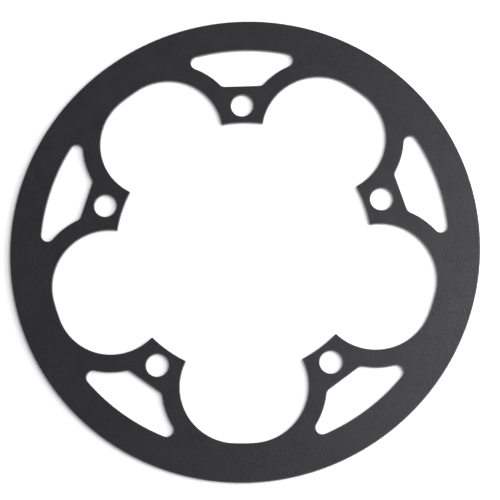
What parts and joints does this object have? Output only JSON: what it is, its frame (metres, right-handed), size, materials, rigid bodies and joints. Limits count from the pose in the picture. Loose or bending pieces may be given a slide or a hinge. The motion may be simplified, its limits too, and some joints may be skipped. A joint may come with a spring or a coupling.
{
  "type": "chainring guard",
  "caption": "Flat round bicycle chainring guard with inward bolt arms, wide scallops between the arms and a window above each bolt hole.",
  "frame": {"origin": "centre of the bolt circle, on the back face that the guard lies on", "axes": "+Z along the crank's axis, out of the front face; +Y through one bolt arm"},
  "size_m": [0.2094, 0.2094, 0.002],
  "materials": {
    "black_anodised": "bead-blasted and anodised satin black"
  },
  "bodies": {
    "root": {"guard_plate": "black_anodised"}
  },
  "joints": []
}
